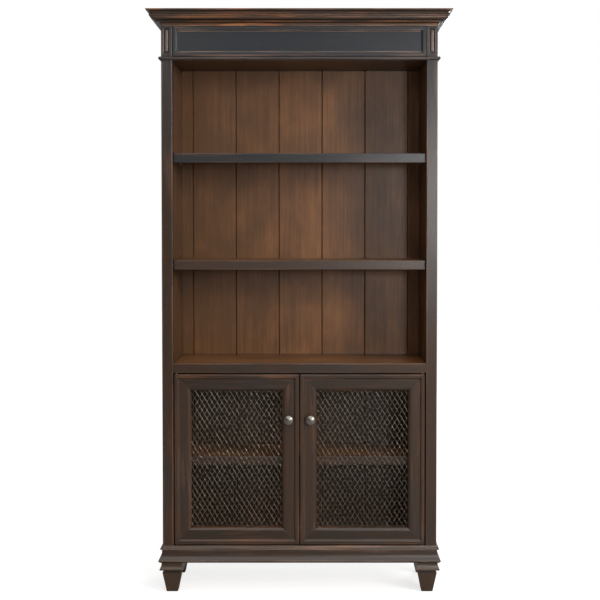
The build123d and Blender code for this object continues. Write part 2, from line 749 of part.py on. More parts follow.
def mesh_stops(sign):
    """Four mitred strips that hold the mesh in its rebate."""
    inset = DOOR_FRAME - REBATE_WIDTH + 0.1
    ring = framed_ring(
        stop_outline,
        STOP_WIDTH,
        DOOR_WIDTH / 2 - inset,
        DOOR_BOTTOM + inset,
        DOOR_TOP - inset,
        BODY_FRONT + STOP_FRONT,
    )
    centre_x = sign * (DOOR_CENTRE_GAP + DOOR_WIDTH) / 2
    return group(Pos(centre_x, 0, 0) * strip for strip in ring)


def knob(sign):
    """Turned knob: rosette, waisted neck, rim, step and a cap that is part of a sphere."""
    cap_height = KNOB_REACH - KNOB_CAP_BASE
    dome = (KNOB_CAP_RADIUS**2 + cap_height**2) / (2 * cap_height)
    x = sign * (DOOR_CENTRE_GAP / 2 + KNOB_FROM_EDGE)
    face = Plane(origin=(x, BODY_FRONT + FIELD_DEPTH, KNOB_Z), x_dir=(1, 0, 0), z_dir=(0, 0, -1))
    with BuildPart() as turned:
        with BuildSketch(face):
            with BuildLine():
                Line((0, 0), (9, 0))
                Line((9, 0), (9, 1.2))
                ThreePointArc((9, 1.2), (7.6, 3.1), (5.4, 4.0))
                ThreePointArc((5.4, 4.0), (5.9, 8.6), (9.5, 12.0))
                ThreePointArc((9.5, 12.0), (13.4, 13.6), (15.5, 16.2))
                ThreePointArc((15.5, 16.2), (15.4, 17.4), (14.6, 18.2))
                Line((14.6, 18.2), (12.4, 18.9))
                Line((12.4, 18.9), (KNOB_CAP_RADIUS, KNOB_CAP_BASE))
                RadiusArc((KNOB_CAP_RADIUS, KNOB_CAP_BASE), (0, KNOB_REACH), -dome)
                Line((0, KNOB_REACH), (0, 0))
            make_face()
        revolve(axis=Axis((x, 0, KNOB_Z), (0, 1, 0)))
        with BuildSketch(Plane.XZ.offset(-BODY_FRONT - FIELD_DEPTH)):
            with Locations((x, KNOB_Z)):
                Circle(KNOB_THREAD_RADIUS)
        extrude(amount=KNOB_THREAD_DEPTH, mode=Mode.SUBTRACT)
    return turned.part


def knob_screw(sign):
    """Truss-head screw from the door's back face into the knob."""
    x = sign * (DOOR_CENTRE_GAP / 2 + KNOB_FROM_EDGE)
    back = BODY_FRONT + DOOR_THICKNESS
    with BuildPart() as screw:
        with BuildSketch(Plane.XZ.offset(-back)):
            with Locations((x, KNOB_Z)):
                Circle(4.2)
        extrude(amount=-2.0)
        fillet(faces().sort_by(Axis.Y)[-1].edges(), radius=1.4)
        with BuildSketch(Plane.XZ.offset(-back)):
            with Locations((x, KNOB_Z)):
                Circle(KNOB_THREAD_RADIUS)
        extrude(amount=DOOR_THICKNESS - FIELD_DEPTH + KNOB_THREAD_DEPTH - 1)
    return screw.part


def door_leaves(sign):
    """Two hinge leaves let into the door, each bored for its pivot."""
    x = pivot_x(sign)
    y = BODY_FRONT + PIVOT_INSET
    leaves = []
    for low in (DOOR_BOTTOM, DOOR_TOP - LEAF_THICKNESS):
        bore = upright_cylinder(x, y, low - 1, low + LEAF_THICKNESS + 1, PIVOT_RADIUS + PIVOT_CLEARANCE)
        leaves.append(leaf_pocket(sign, low, low + LEAF_THICKNESS) - bore)
    return group(leaves)


def hinge_brackets():
    """Four cabinet leaves, each with a shoulder for the door and a pivot pin."""
    brackets = []
    y = BODY_FRONT + PIVOT_INSET
    for sign in SIDES.values():
        x = pivot_x(sign)
        brackets.append(
            leaf_pocket(sign, MIDDLE_RAIL_BOTTOM, MIDDLE_RAIL_BOTTOM + LEAF_THICKNESS)
            + upright_cylinder(x, y, DOOR_TOP + SHOULDER_GAP, MIDDLE_RAIL_BOTTOM, SHOULDER_RADIUS)
            + upright_cylinder(x, y, DOOR_TOP - PIVOT_REACH, MIDDLE_RAIL_BOTTOM, PIVOT_RADIUS)
        )
        brackets.append(
            leaf_pocket(sign, BOTTOM_TOP - LEAF_THICKNESS, BOTTOM_TOP)
            + upright_cylinder(x, y, BOTTOM_TOP, DOOR_BOTTOM - SHOULDER_GAP, SHOULDER_RADIUS)
            + upright_cylinder(x, y, BOTTOM_TOP, DOOR_BOTTOM + PIVOT_REACH, PIVOT_RADIUS)
        )
    return group(brackets)


def strike_plate(sign):
    """Steel plate on the door's back that meets the magnet."""
    with BuildPart() as plate:
        with BuildSketch(Plane.XZ.offset(-(BODY_FRONT + DOOR_THICKNESS))):
            with Locations((sign * CATCH_X, STRIKE_Z)):
                RectangleRounded(STRIKE_WIDTH, STRIKE_HEIGHT, 2)
        extrude(amount=-STRIKE_THICKNESS)
    return plate.part


def magnetic_catches():
    """Catch housings hung under the fixed shelf, one behind each door."""
    face = BODY_FRONT + DOOR_THICKNESS + STRIKE_THICKNESS + STRIKE_GAP
    under = FIXED_SHELF_TOP - BOARD
    housings = []
    for sign in SIDES.values():
        with BuildPart() as housing:
            with BuildSketch(Plane.XY.offset(under - CATCH_HEIGHT)):
                with Locations((sign * CATCH_X, face + CATCH_DEPTH / 2 + 1)):
                    RectangleRounded(CATCH_WIDTH, CATCH_DEPTH, 3)
            extrude(amount=CATCH_HEIGHT)
            with BuildSketch(Plane.XZ.offset(-face)):
                with Locations((sign * CATCH_X, STRIKE_Z)):
                    RectangleRounded(STRIKE_WIDTH - 6, STRIKE_HEIGHT - 2, 1)
            extrude(amount=-2)
        housings.append(housing.part)
    return group(housings)


for side_name, side_sign in SIDES.items():
    for member_name, member in door_frame(side_sign).items():
        save(member, f"{side_name}_door_{member_name}")
    save(wire_mesh(side_sign), f"{side_name}_door_mesh")
    save(mesh_stops(side_sign), f"{side_name}_door_mesh_stops")
    save(knob(side_sign), f"{side_name}_door_knob")
    save(knob_screw(side_sign), f"{side_name}_door_knob_screw")
    save(door_leaves(side_sign), f"{side_name}_door_hinge_leaves")
    save(strike_plate(side_sign), f"{side_name}_door_strike_plate")
save(hinge_brackets(), "hinge_brackets")
save(magnetic_catches(), "magnetic_catches")


# ---------------------------------------------------------------- adjustable shelves
def shelf_pin(sign, y, underside):
    """Bracket pin: shank in the side, plate against it and tab under the shelf."""
    inside = sign * OPENING_HALF
    centre_z = underside - PIN_DROP
    with BuildPart() as pin:
        with BuildSketch(Plane.YZ.offset(inside)):
            with Locations((y, centre_z)):
                Circle(PIN_RADIUS)
        extrude(amount=sign * (PIN_HOLE_DEPTH - 1))
        with BuildSketch(Plane.YZ.offset(inside)):
            with Locations((y, underside - PLATE_HEIGHT / 2)):
                Rectangle(TAB_WIDTH, PLATE_HEIGHT)
                fillet(vertices().group_by(Axis.Z)[0], radius=3)
        extrude(amount=-sign * PLATE_THICKNESS)
        with BuildSketch(Plane.XY.offset(underside)):
            with Locations((inside - sign * TAB_LENGTH / 2, y)):
                Rectangle(TAB_LENGTH, TAB_WIDTH)
        extrude(amount=-TAB_THICKNESS)
    return pin.part


shelf_half = OPENING_HALF - SHELF_END_GAP
shelf_pins = []
for shelf_name, (top_z, nosing_height, set_back) in SHELVES.items():
    nosing_front = BODY_FRONT + set_back
    nosing_back = nosing_front + NOSING_THICKNESS
    save(
        board(
            (-shelf_half, shelf_half),
            (nosing_back, BACK_FACE - SHELF_BACK_GAP),
            (top_z - BOARD, top_z),
        ),
        shelf_name,
    )
    with BuildPart() as nosing:
        with BuildSketch(Plane.YZ):
            with Locations(((nosing_front + nosing_back) / 2, top_z - nosing_height / 2)):
                Rectangle(NOSING_THICKNESS, nosing_height)
            fillet(vertices().group_by(Axis.X)[0], radius=ARRIS)
        extrude(amount=shelf_half, both=True)
    save(nosing.part, f"{shelf_name}_nosing")
    for side_sign in SIDES.values():
        for pin_y in (PIN_FRONT_Y, PIN_REAR_Y):
            shelf_pins.append(shelf_pin(side_sign, pin_y, top_z - BOARD))
save(group(shelf_pins), "shelf_pins")
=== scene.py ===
"""Looks for the open bookcase: a distressed espresso lacquer outside, brown stain inside.

Every part keeps its own shape; what is added here is finish and light.
"""

import json
import logging
import math
from dataclasses import dataclass
from enum import Enum

import bpy
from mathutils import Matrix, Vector

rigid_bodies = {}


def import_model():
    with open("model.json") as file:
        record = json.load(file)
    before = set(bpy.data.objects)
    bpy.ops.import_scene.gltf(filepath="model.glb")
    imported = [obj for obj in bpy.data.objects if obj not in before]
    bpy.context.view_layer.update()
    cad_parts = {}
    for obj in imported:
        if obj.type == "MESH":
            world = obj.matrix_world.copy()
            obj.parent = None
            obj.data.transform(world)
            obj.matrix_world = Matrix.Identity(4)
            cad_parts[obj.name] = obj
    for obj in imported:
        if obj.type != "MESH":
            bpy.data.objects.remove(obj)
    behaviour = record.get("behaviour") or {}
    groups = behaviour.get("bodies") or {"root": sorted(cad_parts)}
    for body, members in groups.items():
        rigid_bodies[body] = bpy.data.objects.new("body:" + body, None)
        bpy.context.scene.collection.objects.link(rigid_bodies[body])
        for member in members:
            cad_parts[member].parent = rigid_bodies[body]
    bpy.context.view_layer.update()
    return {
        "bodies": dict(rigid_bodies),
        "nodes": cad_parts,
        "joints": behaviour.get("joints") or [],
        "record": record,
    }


Span = tuple[float, float]
Point = tuple[float, float, float]
Colour = tuple[float, float, float, float]
Inputs = dict[str | int, object]

LOG = logging.getLogger("bookcase")
MM = 0.001
NOISE_ROUGHNESS = 0.55
PORE_SPAN: Span = (0.3, 0.7)
# How many samples the softened and worn arrises and the corner shading take.
ARRIS_SAMPLES = 6
VENEER_SAMPLES = 4
CORNER_SAMPLES = 8
# How open a face is before it counts as clear of its corners.
OPEN_SPAN: Span = (0.35, 0.90)
# How far a rounded end leans along the grain before wear is left off it.
END_TURN: Span = (0.008, 0.04)


class Grain(Enum):
    """The way the grain of a board runs."""

    ACROSS = 0
    DEEP = 1
    UPRIGHT = 2


def hex_to_linear(code: str) -> Colour:
    """Turns an sRGB hex colour into linear light.

    Args:
        code: six hex digits, with or without a leading hash.

    Returns:
        Red, green, blue and an alpha of one.
    """
    digits = code.lstrip("#")
    channels = [int(digits[i : i + 2], 16) / 255 for i in (0, 2, 4)]
    linear = [c / 12.92 if c <= 0.04045 else ((c + 0.055) / 1.055) ** 2.4 for c in channels]
    return (linear[0], linear[1], linear[2], 1.0)


def add_node(
    tree: bpy.types.NodeTree,
    kind: str,
    values: Inputs | None = None,
    links: Inputs | None = None,
    **settings: object,
) -> bpy.types.Node:
    """Adds one shader node.

    Args:
        tree: the material's node tree.
        kind: the node's type name, without its ShaderNode prefix.
        values: input name or number to its fixed value.
        links: input name or number to the socket that feeds it.
        **settings: attributes of the node itself.

    Returns:
        The new node.
    """
    node = tree.nodes.new(f"ShaderNode{kind}")
    for name, value in settings.items():
        setattr(node, name, value)
    for key, value in (values or {}).items():
        node.inputs[key].default_value = value
    for key, socket in (links or {}).items():
        tree.links.new(socket, node.inputs[key])
    return node


def new_material(name: str) -> tuple[bpy.types.Material, bpy.types.NodeTree]:
    """Makes an empty node material.

    Args:
        name: the material's name.

    Returns:
        The material and its node tree.
    """
    material = bpy.data.materials.new(name)
    material.use_nodes = True
    material.node_tree.nodes.clear()
    return material, material.node_tree


def grain_noise(
    tree: bpy.types.NodeTree,
    coords: bpy.types.NodeSocket,
    grain: Grain,
    width_mm: float,
    stretch: float,
    detail: float = 2.0,
    distortion: float = 0.0,
) -> bpy.types.NodeSocket:
    """Noise drawn out along the grain.

    Args:
        tree: the material's node tree.
        coords: coordinates in metres.
        grain: the way the grain runs.
        width_mm: the size of one mark across the grain.
        stretch: how many times longer a mark is along the grain.
        detail: octaves of the noise.
        distortion: how far the marks wander.

    Returns:
        The noise value, from 0 to 1.
    """
    scale = [1 / (width_mm * MM)] * 3
    scale[grain.value] /= stretch
    mapped = add_node(tree, "Mapping", {"Scale": scale}, {"Vector": coords})
    noise = add_node(
        tree,
        "TexNoise",
        {"Scale": 1.0, "Detail": detail, "Roughness": NOISE_ROUGHNESS, "Distortion": distortion},
        {"Vector": mapped.outputs["Vector"]},
    )
    return noise.outputs["Fac"]


def ramp_between(
    tree: bpy.types.NodeTree, value: bpy.types.NodeSocket, span: Span, onto: Span = (0.0, 1.0)
) -> bpy.types.NodeSocket:
    """Eases a value's span onto another span, clamped at both ends.

    Args:
        tree: the material's node tree.
        value: the socket to read.
        span: where the ramp starts and ends.
        onto: what it gives at its start and end.

    Returns:
        The eased value.
    """
    node = add_node(
        tree,
        "MapRange",
        {"From Min": span[0], "From Max": span[1], "To Min": onto[0], "To Max": onto[1]},
        {"Value": value},
        interpolation_type="SMOOTHSTEP",
    )
    return node.outputs["Result"]


def times(span: Span, factor: float) -> Span:
    """Both ends of a span, scaled."""
    return (span[0] * factor, span[1] * factor)


def blend(
    tree: bpy.types.NodeTree,
    factor: bpy.types.NodeSocket,
    first: bpy.types.NodeSocket | Colour,
    second: bpy.types.NodeSocket | Colour,
) -> bpy.types.NodeSocket:
    """Mixes two colours.

    Args:
        tree: the material's node tree.
        factor: how much of the second colour shows.
        first: a socket or a linear colour.
        second: a socket or a linear colour.

    Returns:
        The mixed colour.
    """
    values, links = {}, {0: factor}
    for key, colour in ((6, first), (7, second)):
        if isinstance(colour, tuple):
            values[key] = colour
        else:
            links[key] = colour
    return add_node(tree, "Mix", values, links, data_type="RGBA").outputs[2]


def calculate(
    tree: bpy.types.NodeTree,
    operation: str,
    first: bpy.types.NodeSocket,
    second: bpy.types.NodeSocket | float,
) -> bpy.types.NodeSocket:
    """One sum on two numbers.

    Args:
        tree: the material's node tree.
        operation: the name of the sum.
        first: the first number.
        second: the second number, a socket or fixed.

    Returns:
        The result.
    """
    if isinstance(second, (int, float)):
        node = add_node(tree, "Math", {1: second}, {0: first}, operation=operation)
    else:
        node = add_node(tree, "Math", {}, {0: first, 1: second}, operation=operation)
    return node.outputs[0]


def edge_mask(
    tree: bpy.types.NodeTree, radius_mm: float, bend: Span, grain: Grain | None = None
) -> bpy.types.NodeSocket:
    """One along the arrises of a board and nought on its flats.

    Args:
        tree: the material's node tree.
        radius_mm: how far in from an arris the mask reaches.
        bend: bends of the surface at which the mask starts and is full.
        grain: where given, the board's ends and mitres are left out, because they are
            closed up against the next board and no hand rubs them.

    Returns:
        The mask.
    """
    rounded = add_node(tree, "Bevel", {"Radius": radius_mm * MM}, samples=ARRIS_SAMPLES)
    flat = add_node(tree, "NewGeometry")
    both = {0: rounded.outputs["Normal"], 1: flat.outputs["Normal"]}
    dot = add_node(tree, "VectorMath", {}, both, operation="DOT_PRODUCT")
    turned = calculate(tree, "SUBTRACT", dot.outputs["Value"], 1.0)
    mask = ramp_between(tree, calculate(tree, "MULTIPLY", turned, -1.0), bend)
    if grain is None:
        return mask
    turn = add_node(tree, "VectorMath", {}, both, operation="SUBTRACT")
    split = add_node(tree, "SeparateXYZ", {}, {0: turn.outputs["Vector"]})
    along = calculate(tree, "ABSOLUTE", split.outputs[grain.value], 0.0)
    return calculate(tree, "MULTIPLY", mask, ramp_between(tree, along, END_TURN, (1.0, 0.0)))


def open_mask(tree: bpy.types.NodeTree, reach_mm: float) -> bpy.types.NodeSocket:
    """One on open faces, falling to nought in corners and quirks.

    Args:
        tree: the material's node tree.
        reach_mm: how far a corner is felt.

    Returns:
        The mask.
    """
    node = add_node(tree, "AmbientOcclusion", {"Distance": reach_mm * MM}, samples=CORNER_SAMPLES)
    return ramp_between(tree, node.outputs["AO"], OPEN_SPAN)


def pored_relief(
    tree: bpy.types.NodeTree,
    pores: bpy.types.NodeSocket,
    soft_mm: float,
    samples: int,
    strength: float,
    deep_mm: float,
) -> bpy.types.NodeSocket:
    """The lie of a coated board: arrises softened by the film, pores slightly sunk.

    Args:
        tree: the material's node tree.
        pores: the noise that draws the pores.
        soft_mm: the radius of a softened arris.
        samples: how finely the softening is worked out.
        strength: how strongly the pores show.
        deep_mm: how deep a pore is.

    Returns:
        The normal for the shader.
    """
    softened = add_node(tree, "Bevel", {"Radius": soft_mm * MM}, samples=samples)
    bump = add_node(
        tree,
        "Bump",
        {"Strength": strength, "Distance": deep_mm * MM},
        {"Height": pores, "Normal": softened.outputs["Normal"]},
    )
    return bump.outputs["Normal"]


def surface(tree: bpy.types.NodeTree, values: Inputs, links: Inputs) -> None:
    """Closes a material with one principled shader.

    Args:
        tree: the material's node tree.
        values: fixed values of the shader.
        links: sockets that feed the shader.
    """
    shader = add_node(tree, "BsdfPrincipled", values, links)
    add_node(tree, "OutputMaterial", {}, {"Surface": shader.outputs[0]})


# How many times longer than wide the marks of the lacquer and the stain are.
STREAK_STRETCH = 40.0
PATCH_STRETCH = 12.0
FILM_CLOUD_STRETCH = 2.0
VENEER_PORE_STRETCH = 60.0
BAND_STRETCH = 30.0
STAIN_CLOUD_STRETCH = 1.6

# Where in its noise, or in the bend of an arris, each mark of the lacquer fades in.
FAINT_STREAK: Span = (0.45, 0.75)
FLAT_STREAK: Span = (0.30, 0.62)
FLAT_PATCH: Span = (0.56, 0.72)
ARRIS_STREAK: Span = (0.32, 0.60)
ARRIS_PATCH: Span = (0.45, 0.62)
BARE_HIGHLIGHT_STREAK: Span = (0.38, 0.60)
FILM_CLOUD: Span = (0.42, 0.62)
WIDE_BEND: Span = (0.002, 0.10)
SHARP_BEND: Span = (0.02, 0.16)

# How strongly each mark shows, at its least and at its most.
FAINT_SHOW: Span = (0.0, 0.10)
FLAT_SHOW: Span = (0.05, 0.34)
ARRIS_STREAK_SHOW: Span = (0.65, 1.0)
ARRIS_PATCH_SHOW: Span = (0.16, 0.95)
BARE_HIGHLIGHT_SHOW: Span = (0.22, 0.80)


@dataclass(frozen=True)
class DistressedLacquer:
    """Sprayed nitrocellulose lacquer over stained hardwood, rubbed back by hand.

    The film is almost black and satin, so most of what the eye gets from it is a soft
    reflection. It is painted cooler towards the top of the piece, from reflection_from metres up,
    a painted cool reflection.
    Near-black glazing and painted shade darken the quirks. Where the film was rubbed, on arrises
    and in long streaks, red-brown wood shows through, greyer where the film is cool; the sharpest
    arrises are painted pale, part rubbed-through wood and part painted highlight.
    """

    name: str = "distressed_espresso_lacquer"
    film: str = "#2b1b0e"
    film_cool: str = "#1e1c1c"
    glaze_and_shade: str = "#0d0a08"
    rub: str = "#6f421f"
    rub_cool: str = "#765f55"
    bare_wood_and_highlight: str = "#b3a294"
    grain: Grain = Grain.ACROSS
    roughness: float = 0.31
    pore_rough: float = 0.08
    rub_rough: float = 0.14
    ior: float = 1.45
    # Pores are too fine to see from across a room and show close up only.
    pore_mm: float = 0.7
    pore_deep_mm: float = 0.22
    pore_bump: float = 0.28
    # A rub mark is about 1 mm wide; it is drawn at 4 mm so that it shows.
    streak_mm: float = 4.0
    patch_mm: float = 26.0
    cloud_mm: float = 160.0
    wear: float = 1.0
    patches: float = 1.0
    reflection_from: float = 1.25
    reflection_rise: float = 0.6
    reflection_most: float = 0.9
    cloud_cool: float = 0.35
    quirk_mm: float = 14.0
    quirk_glaze_and_shade: float = 0.9
    wide_mm: float = 10.0
    sharp_mm: float = 2.0
    soft_mm: float = 1.6

    def build(self) -> bpy.types.Material:
        """Builds the material."""
        material, tree = new_material(f"{self.name}_{self.grain.name.lower()}")
        coords = add_node(tree, "TexCoord").outputs["Object"]
        pores = grain_noise(tree, coords, self.grain, self.pore_mm, STREAK_STRETCH, 3.0)
        streaks = grain_noise(tree, coords, self.grain, self.streak_mm, STREAK_STRETCH, 3.0)
        patch = grain_noise(tree, coords, self.grain, self.patch_mm, PATCH_STRETCH, 3.0)
        # The cool share: a painted cool reflection higher up, and random clouds of cool tone.
        cool = self.cool_tone_and_reflection(tree, coords)
        body = blend(tree, cool, hex_to_linear(self.film), hex_to_linear(self.film_cool))
        undercoat = blend(tree, cool, hex_to_linear(self.rub), hex_to_linear(self.rub_cool))
        faint = ramp_between(tree, streaks, FAINT_STREAK, times(FAINT_SHOW, self.patches))
        body = blend(tree, faint, body, undercoat)
        open_face = open_mask(tree, self.quirk_mm)
        rubbed = calculate(
            tree,
            "MAXIMUM",
            self.worn_arris(tree, patch, streaks),
            self.rubbed_flat(tree, patch, streaks),
        )
        rubbed = calculate(tree, "MULTIPLY", rubbed, open_face)
        body = blend(tree, rubbed, body, undercoat)
        # The sharpest arrises are painted pale: part rubbed-through wood, part painted highlight.
        sharp = edge_mask(tree, self.sharp_mm, SHARP_BEND, self.grain)
        sharp = calculate(tree, "MULTIPLY", sharp, open_face)
        bare_and_highlight = ramp_between(tree, streaks, BARE_HIGHLIGHT_STREAK, times(BARE_HIGHLIGHT_SHOW, self.wear))
        bare_and_highlight = calculate(tree, "MULTIPLY", sharp, bare_and_highlight)
        body = blend(tree, bare_and_highlight, body, hex_to_linear(self.bare_wood_and_highlight))
        # Near-black glazing and painted shade darken the corners and quirks, found by ambient
        # occlusion.
        glaze_and_shade_share = ramp_between(tree, open_face, (0.0, 1.0), (self.quirk_glaze_and_shade, 0.0))
        body = blend(tree, glaze_and_shade_share, body, hex_to_linear(self.glaze_and_shade))
        in_pores = ramp_between(tree, pores, PORE_SPAN, (0.0, self.pore_rough))
        rough = calculate(tree, "MULTIPLY", rubbed, self.rub_rough)
        rough = calculate(tree, "ADD", rough, in_pores)
        rough = calculate(tree, "ADD", rough, self.roughness - self.pore_rough / 2)
        relief = pored_relief(
            tree, pores, self.soft_mm, ARRIS_SAMPLES, self.pore_bump, self.pore_deep_mm
        )
        surface(
            tree, {"IOR": self.ior}, {"Base Color": body, "Roughness": rough, "Normal": relief}
        )
        return material

    def cool_tone_and_reflection(
        self, tree: bpy.types.NodeTree, coords: bpy.types.NodeSocket
    ) -> bpy.types.NodeSocket:
        """How cool the film is: more so higher up, a painted cool reflection, and in slow random
        clouds everywhere.

        Args:
            tree: the material's node tree.
            coords: coordinates in metres.

        Returns:
            The share of the cool film.
        """
        cloud = grain_noise(tree, coords, self.grain, self.cloud_mm, FILM_CLOUD_STRETCH)
        level = add_node(tree, "SeparateXYZ", {}, {0: coords}).outputs["Z"]
        rise = (self.reflection_from, self.reflection_from + self.reflection_rise)
        return calculate(
            tree,
            "MAXIMUM",
            ramp_between(tree, level, rise, (0.0, self.reflection_most)),
            ramp_between(tree, cloud, FILM_CLOUD, (0.0, self.cloud_cool)),
        )

    def rubbed_flat(
        self,
        tree: bpy.types.NodeTree,
        patch: bpy.types.NodeSocket,
        streaks: bpy.types.NodeSocket,
    ) -> bpy.types.NodeSocket:
        """Long rubbed streaks on the flats.

        Args:
            tree: the material's node tree.
            patch: slow noise that says where the hand rubbed harder.
            streaks: fine noise along the grain.

        Returns:
            The amount of wear.
        """
        where = ramp_between(tree, patch, FLAT_PATCH)
        fine = ramp_between(tree, streaks, FLAT_STREAK, times(FLAT_SHOW, self.patches))
        return calculate(tree, "MULTIPLY", where, fine)

    def worn_arris(
        self,
        tree: bpy.types.NodeTree,
        patch: bpy.types.NodeSocket,
        streaks: bpy.types.NodeSocket,
    ) -> bpy.types.NodeSocket:
        """Broad soft wear beside the arrises, heavier in some stretches than in others.

        Args:
            tree: the material's node tree.
            patch: slow noise that says where the hand rubbed harder.
            streaks: fine noise along the grain.

        Returns:
            The amount of wear.
        """
        wear = edge_mask(tree, self.wide_mm, WIDE_BEND, self.grain)
        stretch = ramp_between(tree, patch, ARRIS_PATCH, times(ARRIS_PATCH_SHOW, self.wear))
        fine = ramp_between(tree, streaks, ARRIS_STREAK, ARRIS_STREAK_SHOW)
        return calculate(tree, "MULTIPLY", calculate(tree, "MULTIPLY", wear, stretch), fine)


@dataclass(frozen=True)
class StainedVeneer:
    """Brown-stained veneer under a thin satin topcoat.

    The eye gets warm brown with fine straight pores and slow clouds of tone. On the planked
    back each plank has its own tone, and with lean set the left-hand ones are painted darker, a
    painted shade; corners get painted shade too.
    Behind bare_from metres, the wall side of the back, the board was left plain brown.
    """

    name: str = "brown_stained_veneer"
    deep: str = "#523314"
    middle: str = "#66401e"
    light: str = "#7b5028"
    pore: str = "#432a15"
    corner_shade: str = "#120b07"
    grain: Grain = Grain.UPRIGHT
    roughness: float = 0.40
    ior: float = 1.42
    pore_mm: float = 0.9
    pore_deep_mm: float = 0.2
    pore_bump: float = 0.3
    pore_span: Span = (0.48, 0.74)
    pore_show: float = 0.55
    band_mm: float = 9.0
    band_share: float = 0.42
    cloud_mm: float = 90.0
    deep_to_middle: Span = (0.30, 0.54)
    middle_to_light: Span = (0.46, 0.72)
    corner_shade_mm: float = 9.0
    corner_shade_show: float = 0.75
    soft_mm: float = 0.8
    plank_mm: float = 0.0
    plank_change: float = 0.035
    left_shade: float = 0.0
    bare_from: float = 1.0
    bare_board: str = "#4b3726"

    def build(self) -> bpy.types.Material:
        """Builds the material."""
        material, tree = new_material(f"{self.name}_{self.grain.name.lower()}")
        coords = add_node(tree, "TexCoord").outputs["Object"]
        pores = grain_noise(tree, coords, self.grain, self.pore_mm, VENEER_PORE_STRETCH, 3.0)
        body = self.stain(tree, coords)
        dark_pores = ramp_between(tree, pores, self.pore_span, (0.0, self.pore_show))
        body = blend(tree, dark_pores, body, hex_to_linear(self.pore))
        depth = add_node(tree, "SeparateXYZ", {}, {0: coords}).outputs["Y"]
        outside = calculate(tree, "GREATER_THAN", depth, self.bare_from)
        body = blend(tree, outside, body, hex_to_linear(self.bare_board))
        # Painted shade: the stain darkens into corners and beside neighbouring parts, found by
        # ambient occlusion.
        open_face = open_mask(tree, self.corner_shade_mm)
        shade = ramp_between(tree, open_face, (0.0, 1.0), (self.corner_shade_show, 0.0))
        body = blend(tree, shade, body, hex_to_linear(self.corner_shade))
        satin = (self.roughness - 0.05, self.roughness + 0.07)
        rough = ramp_between(tree, pores, PORE_SPAN, satin)
        relief = pored_relief(
            tree, pores, self.soft_mm, VENEER_SAMPLES, self.pore_bump, self.pore_deep_mm
        )
        surface(
            tree, {"IOR": self.ior}, {"Base Color": body, "Roughness": rough, "Normal": relief}
        )
        return material

    def stain(
        self, tree: bpy.types.NodeTree, coords: bpy.types.NodeSocket
    ) -> bpy.types.NodeSocket:
        """The stain's colour, from bands of grain, slow clouds and the plank's own shade.

        Args:
            tree: the material's node tree.
            coords: coordinates in metres.

        Returns:
            The colour.
        """
        bands = grain_noise(tree, coords, self.grain, self.band_mm, BAND_STRETCH, 3.0)
        clouds = grain_noise(tree, coords, self.grain, self.cloud_mm, STAIN_CLOUD_STRETCH, 4.0)
        from_bands = calculate(tree, "MULTIPLY", bands, self.band_share)
        from_clouds = calculate(tree, "MULTIPLY", clouds, 1 - self.band_share)
        tone = calculate(tree, "ADD", from_bands, from_clouds)
        if self.plank_mm:
            tone = calculate(tree, "ADD", tone, self.plank_shade(tree, coords))
        deep, middle = hex_to_linear(self.deep), hex_to_linear(self.middle)
        body = blend(tree, ramp_between(tree, tone, self.deep_to_middle), deep, middle)
        lit = ramp_between(tree, tone, self.middle_to_light)
        return blend(tree, lit, body, hex_to_linear(self.light))

    def plank_shade(
        self, tree: bpy.types.NodeTree, coords: bpy.types.NodeSocket
    ) -> bpy.types.NodeSocket:
        """A small random change of tone for each plank, and a painted shade that darkens the
        left-hand planks.

        Args:
            tree: the material's node tree.
            coords: coordinates in metres.

        Returns:
            The change of tone.
        """
        split = add_node(tree, "SeparateXYZ", {}, {0: coords})
        number = calculate(tree, "DIVIDE", split.outputs["X"], self.plank_mm * MM)
        whole = calculate(tree, "FLOOR", number, 0.0)
        random = add_node(tree, "TexWhiteNoise", {}, {"W": whole}, noise_dimensions="1D")
        change = (-self.plank_change, self.plank_change)
        shift = ramp_between(tree, random.outputs["Value"], (0.0, 1.0), change)
        # Painted shade: planks left of the middle are darkened more the further left they are.
        across = calculate(tree, "MULTIPLY", split.outputs["X"], self.left_shade)
        return calculate(tree, "ADD", shift, calculate(tree, "MINIMUM", across, 0.0))


@dataclass(frozen=True)
class SawnTimber:
    """Unfinished sawn softwood of the hidden frame: pale, dry and finely furred."""

    name: str = "sawn_softwood"
    pale: str = "#b99a6b"
    ring: str = "#94703f"
    roughness: float = 0.8
    ring_mm: float = 6.0
    saw_mm: float = 1.5
    saw_deep_mm: float = 0.3

    def build(self) -> bpy.types.Material:
        """Builds the material."""
        material, tree = new_material(self.name)
        coords = add_node(tree, "TexCoord").outputs["Object"]
        rings = grain_noise(tree, coords, Grain.ACROSS, self.ring_mm, 25.0, 2.0, 0.8)
        saw = grain_noise(tree, coords, Grain.DEEP, self.saw_mm, 12.0)
        pale, ring = hex_to_linear(self.pale), hex_to_linear(self.ring)
        body = blend(tree, ramp_between(tree, rings, (0.42, 0.62)), pale, ring)
        furred = {"Strength": 0.5, "Distance": self.saw_deep_mm * MM}
        bump = add_node(tree, "Bump", furred, {"Height": saw})
        links = {"Base Color": body, "Normal": bump.outputs["Normal"]}
        surface(tree, {"Roughness": self.roughness}, links)
        return material


